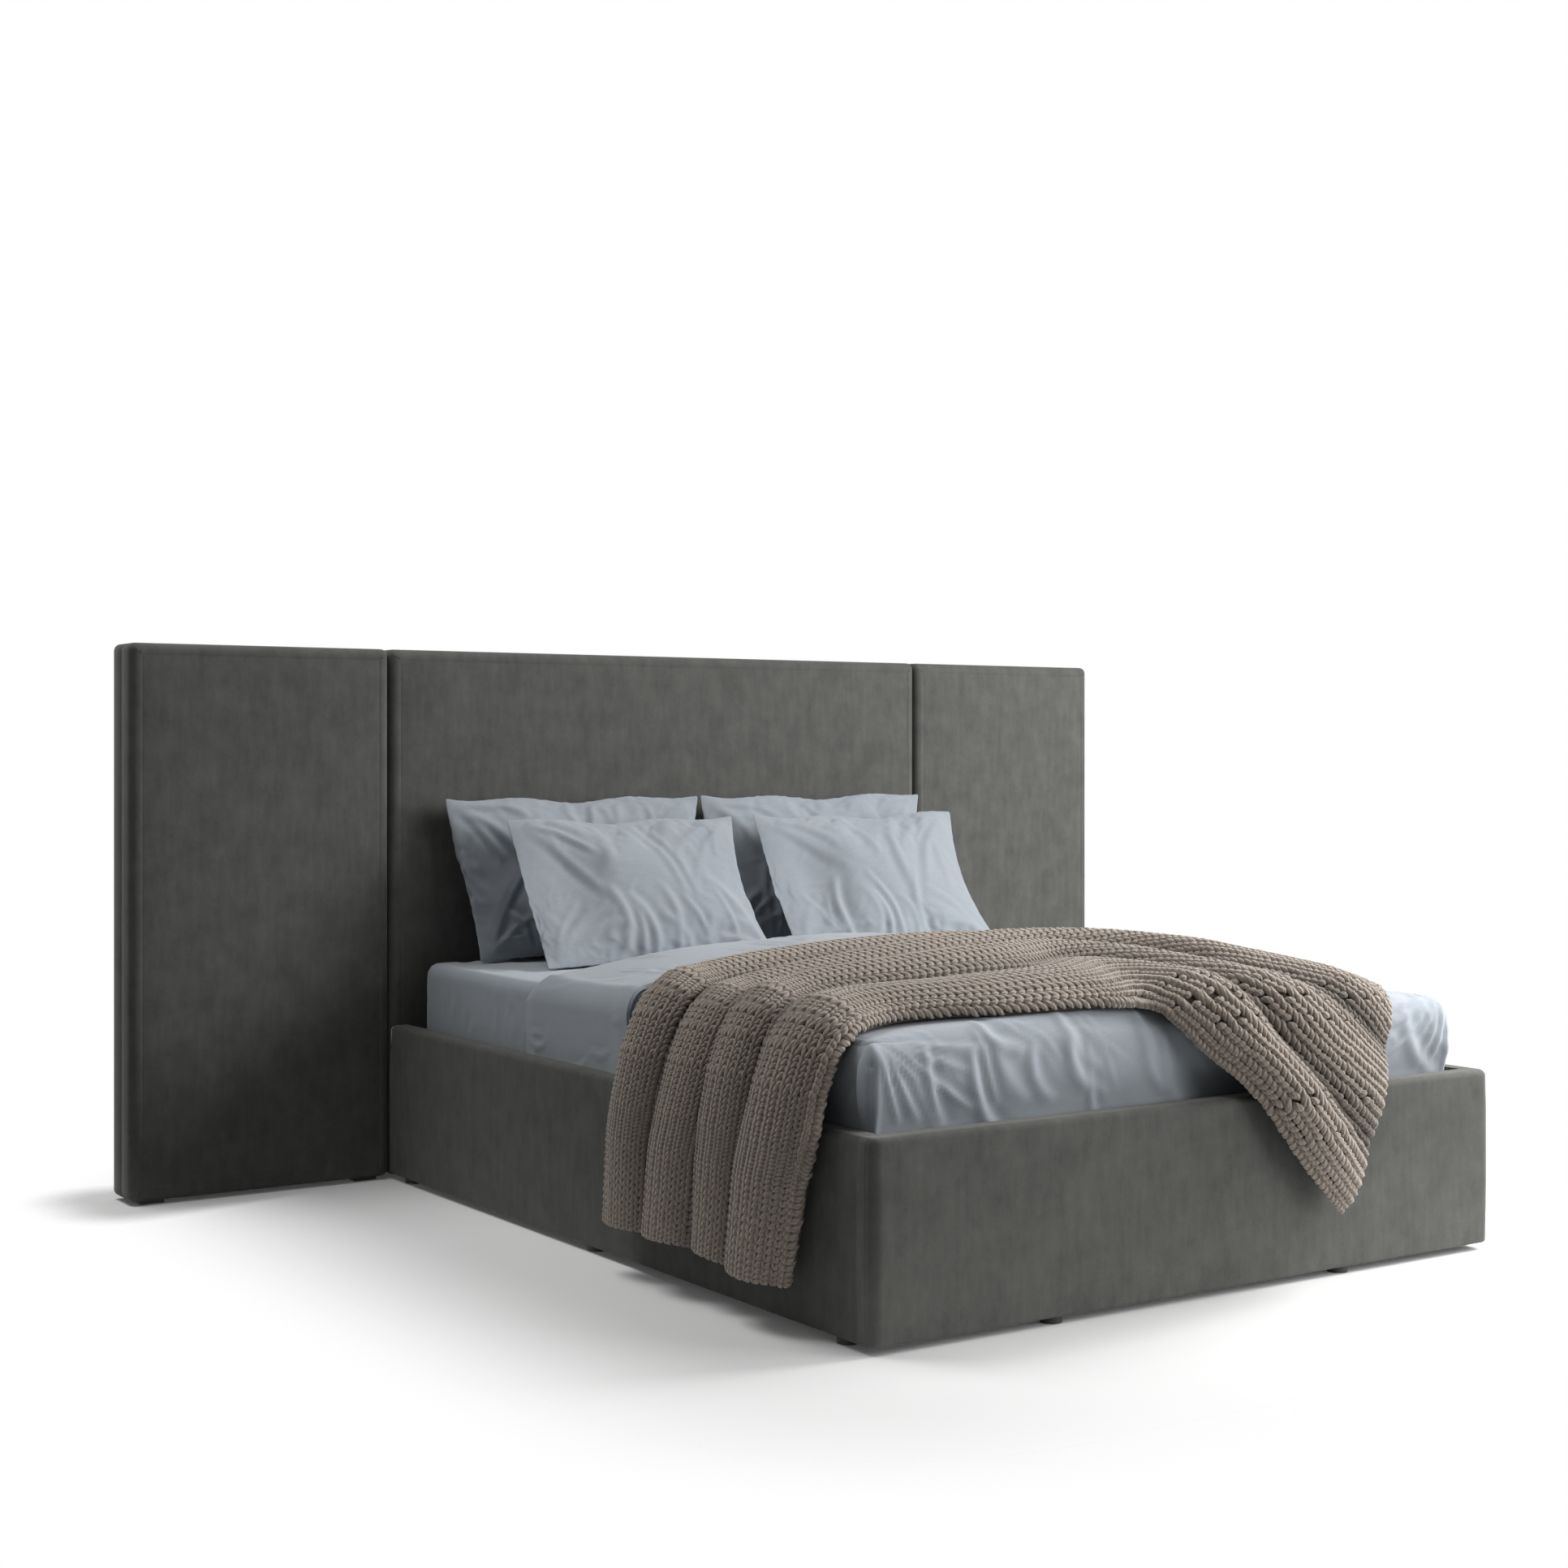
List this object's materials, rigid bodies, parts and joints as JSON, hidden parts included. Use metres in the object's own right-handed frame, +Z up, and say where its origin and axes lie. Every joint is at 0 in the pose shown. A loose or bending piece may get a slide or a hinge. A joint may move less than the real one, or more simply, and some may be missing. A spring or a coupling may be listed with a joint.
{
  "type": "upholstered bed",
  "caption": "Upholstered double bed with a wide padded panel headboard, a lift-up storage base, mattress, bedding, pillows and a knitted throw.",
  "frame": {"origin": "on the floor under the middle of the headboard, halfway through its depth", "axes": "+Z up, +Y to the wall behind the headboard, so the foot end is at -Y, and +X along the headboard to the sleeper's left as they lie on their back"},
  "size_m": [3.082, 2.3298, 1.385],
  "materials": {
    "velvet": "matte short-pile upholstery fabric",
    "foam": "open-cell foam",
    "board": "particle board",
    "pine": "sawn softwood",
    "beech": "varnished plywood",
    "black_plastic": "matte",
    "black_steel": "satin powder coat",
    "platform_paint": "powder coat",
    "zinc_steel": "zinc plated",
    "bright_rod": "polished",
    "strap_web": "woven webbing",
    "ticking": "quilted knit",
    "linen": "washed linen",
    "knit": "chunky wool knit"
  },
  "bodies": {
    "frame": {"side_rail_left_board": "board", "side_rail_left_foam": "foam", "side_rail_left_cover": "velvet", "side_rail_right_board": "board", "side_rail_right_foam": "foam", "side_rail_right_cover": "velvet", "foot_rail_board": "board", "foot_rail_foam": "foam", "foot_rail_cover": "velvet", "head_crossboard": "board", "corner_brackets": "black_steel", "bracket_bolts": "zinc_steel", "center_divider": "board", "floor_ledges": "pine", "storage_floor_left": "board", "storage_floor_right": "board", "base_feet": "black_plastic", "headboard_left_frame": "pine", "headboard_left_board": "board", "headboard_left_foam": "foam", "headboard_left_cover": "velvet", "headboard_center_frame": "pine", "headboard_center_board": "board", "headboard_center_foam": "foam", "headboard_center_cover": "velvet", "headboard_right_frame": "pine", "headboard_right_board": "board", "headboard_right_foam": "foam", "headboard_right_cover": "velvet", "panel_joining_bolts": "zinc_steel", "headboard_bolts": "zinc_steel", "headboard_glides": "black_plastic", "lift_plate_left": "black_steel", "lift_plate_right": "black_steel", "lift_bolts_left": "zinc_steel", "lift_bolts_right": "zinc_steel"},
    "lift_arms": {"lift_arm_left": "black_steel", "lift_arm_right": "black_steel"},
    "lift_links": {"lift_link_left": "black_steel", "lift_link_right": "black_steel"},
    "gas_cylinders": {"gas_cylinder_left": "black_steel", "gas_cylinder_right": "black_steel"},
    "gas_rods": {"gas_rod_left": "bright_rod", "gas_rod_right": "bright_rod"},
    "platform": {"platform_frame": "platform_paint", "lift_bracket_left": "black_steel", "lift_bracket_right": "black_steel", "bed_slats": "beech", "slat_holders": "black_plastic", "mattress_stop": "platform_paint", "lift_strap": "strap_web", "mattress": "ticking", "fitted_sheet": "linen", "duvet": "linen", "throw": "knit"},
    "pillow_back_left": {"pillow_back_left": "linen"},
    "pillow_back_right": {"pillow_back_right": "linen"},
    "pillow_front_left": {"pillow_front_left": "linen"},
    "pillow_front_right": {"pillow_front_right": "linen"}
  },
  "joints": [
    {"name": "arm_swing", "type": "hinge", "parent": "frame", "child": "lift_arms", "pos_m": [0, -0.623, 0.216], "axis": [1, 0, 0], "range_deg": [0, 63.6]},
    {"name": "platform_tilt", "type": "hinge", "parent": "lift_arms", "child": "platform", "pos_m": [0, -0.43, 0.262], "axis": [-1, 0, 0], "range_deg": [0, 99.7]},
    {"name": "link_swing", "type": "hinge", "parent": "frame", "child": "lift_links", "pos_m": [0, -0.825, 0.223], "axis": [1, 0, 0], "range_deg": [0, 54.29]},
    {"name": "strut_swing", "type": "hinge", "parent": "frame", "child": "gas_cylinders", "pos_m": [0, -0.793, 0.068], "axis": [1, 0, 0], "range_deg": [0, 34.72]},
    {"name": "strut_slide", "type": "slide", "parent": "gas_cylinders", "child": "gas_rods", "axis": [0, 0.7459, 0.666], "range_m": [0, 0.0995]},
    {"name": "pillow_back_left_lean", "type": "hinge", "parent": "platform", "child": "pillow_back_left", "pos_m": [0, -0.233, 0.5659], "axis": [1, 0, 0], "range_deg": [0, 36.1]},
    {"name": "pillow_back_right_lean", "type": "hinge", "parent": "platform", "child": "pillow_back_right", "pos_m": [0, -0.233, 0.5659], "axis": [1, 0, 0], "range_deg": [0, 36.1]},
    {"name": "pillow_front_left_lean", "type": "hinge", "parent": "platform", "child": "pillow_front_left", "pos_m": [0, -0.511, 0.5659], "axis": [1, 0, 0], "range_deg": [0, 36.1]},
    {"name": "pillow_front_right_lean", "type": "hinge", "parent": "platform", "child": "pillow_front_right", "pos_m": [0, -0.511, 0.5659], "axis": [1, 0, 0], "range_deg": [0, 36.1]}
  ],
  "couplings": [
    {"joint": "platform_tilt", "follows": "arm_swing", "ratio": 1.566},
    {"joint": "link_swing", "follows": "arm_swing", "ratio": 0.85207},
    {"joint": "strut_swing", "follows": "arm_swing", "ratio": 0.54437},
    {"joint": "strut_slide", "follows": "arm_swing", "m_per_rad": 0.089203},
    {"joint": "pillow_back_left_lean", "follows": "arm_swing", "ratio": 0.56604},
    {"joint": "pillow_back_right_lean", "follows": "arm_swing", "ratio": 0.56604},
    {"joint": "pillow_front_left_lean", "follows": "arm_swing", "ratio": 0.56604},
    {"joint": "pillow_front_right_lean", "follows": "arm_swing", "ratio": 0.56604}
  ]
}
